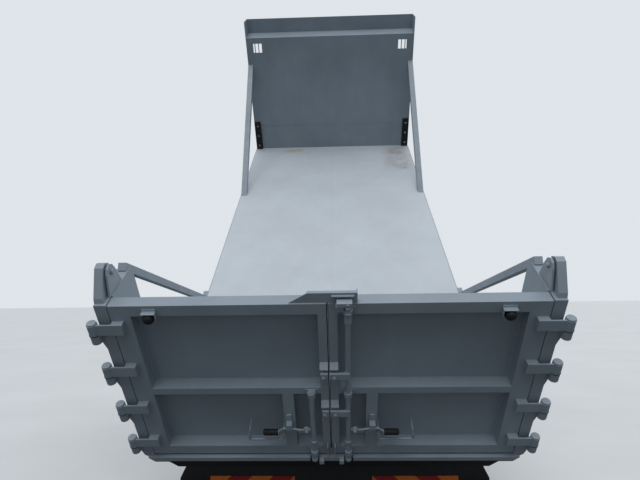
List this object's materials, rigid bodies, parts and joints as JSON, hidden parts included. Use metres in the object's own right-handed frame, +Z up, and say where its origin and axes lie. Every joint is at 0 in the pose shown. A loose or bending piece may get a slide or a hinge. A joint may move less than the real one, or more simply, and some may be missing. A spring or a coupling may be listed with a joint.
{
  "type": "dump truck with twin rear doors",
  "caption": "Cab-over dump truck with a raised flat bed, twin rear doors and a headboard with a visor tray.",
  "frame": {"origin": "on the ground, under the middle of the outline of the truck with its bed raised", "axes": "+X to the truck's right, +Y to its front, +Z up"},
  "size_m": [2.6, 7.604, 5.0402],
  "materials": {
    "bare_steel": "satin",
    "black_paint": "satin",
    "cast_grey": "matte",
    "dark_plastic": "matte",
    "floor_paint": "satin",
    "glass": "clear",
    "grey_paint": "satin",
    "lamp_lens": "gloss",
    "reflector": "gloss",
    "rubber": "matte",
    "seat_fabric": "matte",
    "silver_paint": "satin",
    "white_paint": "gloss"
  },
  "bodies": {
    "chassis": {"frame_rails": "black_paint", "subframe": "black_paint", "frame_brackets": "black_paint", "front_axle": "cast_grey", "rear_axle": "cast_grey", "leaf_springs": "black_paint", "engine": "cast_grey", "drive_line": "cast_grey", "fuel_tank": "black_paint", "battery_box": "black_paint", "air_tanks": "black_paint", "exhaust": "bare_steel", "side_guards": "silver_paint", "rear_bumper": "black_paint", "reflector_plates": "reflector", "lamps": "lamp_lens", "front_bumper": "black_paint", "mudguards": "dark_plastic"},
    "cab": {"cab_roof": "white_paint", "cab_back": "white_paint", "cab_front": "white_paint", "cab_sides": "white_paint", "cab_floor": "dark_plastic", "cab_grille": "dark_plastic", "cab_glass": "glass", "seats": "seat_fabric", "dashboard": "dark_plastic", "steering_wheel": "dark_plastic", "mirrors": "dark_plastic"},
    "right_cab_door": {"right_cab_door": "white_paint", "right_door_glass": "glass"},
    "left_cab_door": {"left_cab_door": "white_paint", "left_door_glass": "glass"},
    "right_knuckle": {"right_knuckle": "cast_grey"},
    "left_knuckle": {"left_knuckle": "cast_grey"},
    "tie_rod": {"tie_rod": "black_paint"},
    "right_front_wheel": {"right_front_tyre": "rubber", "right_front_wheel": "silver_paint"},
    "left_front_wheel": {"left_front_tyre": "rubber", "left_front_wheel": "silver_paint"},
    "right_rear_wheels": {"right_rear_tyres": "rubber", "right_rear_wheels": "silver_paint"},
    "left_rear_wheels": {"left_rear_tyres": "rubber", "left_rear_wheels": "silver_paint"},
    "bed": {"bed_floor": "floor_paint", "bed_bearers": "grey_paint", "bed_sills": "grey_paint", "bulkhead": "grey_paint", "visor": "grey_paint", "stays": "grey_paint", "corner_posts": "grey_paint", "door_hinges": "grey_paint"},
    "right_rear_door": {"right_rear_door": "grey_paint", "right_lock_gear": "grey_paint"},
    "left_rear_door": {"left_rear_door": "grey_paint", "left_lock_gear": "grey_paint"},
    "hoist_barrel": {"hoist_barrel": "black_paint"},
    "hoist_rod": {"hoist_rod": "bare_steel"}
  },
  "joints": [
    {"name": "bed_tilt", "type": "hinge", "parent": "chassis", "child": "bed", "pos_m": [0, -2.542, 0.8], "axis": [1, 0, 0], "range_deg": [-38.4, 6.6]},
    {"name": "hoist_barrel_swing", "type": "hinge", "parent": "chassis", "child": "hoist_barrel", "pos_m": [0, -1.292, 0.7], "axis": [1, 0, 0], "range_deg": [-55.55, 9.55]},
    {"name": "hoist_rod_slide", "type": "slide", "parent": "hoist_barrel", "child": "hoist_rod", "axis": [0, 0.4815, 0.8765], "range_m": [-0.51377, 0.08832]},
    {"name": "right_rear_door_swing", "type": "hinge", "parent": "bed", "child": "right_rear_door", "pos_m": [1.114, -3.0813, 0.69156], "axis": [0, -0.6211, 0.7837], "range_deg": [0, 270]},
    {"name": "left_rear_door_swing", "type": "hinge", "parent": "bed", "child": "left_rear_door", "pos_m": [-1.114, -3.0813, 0.69156], "axis": [0, 0.6211, -0.7837], "range_deg": [0, 270]},
    {"name": "cab_tilt", "type": "hinge", "parent": "chassis", "child": "cab", "pos_m": [0, 3.568, 0.68], "axis": [-1, 0, 0], "range_deg": [0, 45]},
    {"name": "right_cab_door_swing", "type": "hinge", "parent": "cab", "child": "right_cab_door", "pos_m": [1.06, 3.4, 1.2], "axis": [0, 0, 1], "range_deg": [0, 70]},
    {"name": "left_cab_door_swing", "type": "hinge", "parent": "cab", "child": "left_cab_door", "pos_m": [-1.06, 3.4, 1.2], "axis": [0, 0, -1], "range_deg": [0, 70]},
    {"name": "right_steer", "type": "hinge", "parent": "chassis", "child": "right_knuckle", "pos_m": [0.77, 2.608, 0.3625], "axis": [0, 0, 1], "range_deg": [-36, 36]},
    {"name": "left_steer", "type": "hinge", "parent": "chassis", "child": "left_knuckle", "pos_m": [-0.77, 2.608, 0.3625], "axis": [0, 0, 1], "range_deg": [-36, 36]},
    {"name": "tie_rod_swing", "type": "hinge", "parent": "right_knuckle", "child": "tie_rod", "pos_m": [0.74, 2.358, 0.2615], "axis": [0, 0, 1], "range_deg": [-36, 36]},
    {"name": "right_front_wheel_spin", "type": "hinge", "parent": "right_knuckle", "child": "right_front_wheel", "pos_m": [0.88, 2.608, 0.4025], "axis": [1, 0, 0], "continuous": true},
    {"name": "right_rear_wheels_spin", "type": "hinge", "parent": "chassis", "child": "right_rear_wheels", "pos_m": [0.831, -1.492, 0.4025], "axis": [1, 0, 0], "continuous": true},
    {"name": "left_front_wheel_spin", "type": "hinge", "parent": "left_knuckle", "child": "left_front_wheel", "pos_m": [-0.88, 2.608, 0.4025], "axis": [1, 0, 0], "continuous": true},
    {"name": "left_rear_wheels_spin", "type": "hinge", "parent": "chassis", "child": "left_rear_wheels", "pos_m": [-0.831, -1.492, 0.4025], "axis": [1, 0, 0], "continuous": true}
  ],
  "couplings": [
    {"joint": "hoist_barrel_swing", "follows": "bed_tilt", "ratio": 1.4465},
    {"joint": "hoist_rod_slide", "follows": "bed_tilt", "m_per_rad": 0.76656},
    {"joint": "left_steer", "follows": "right_steer", "ratio": 1},
    {"joint": "tie_rod_swing", "follows": "right_steer", "ratio": -1}
  ]
}
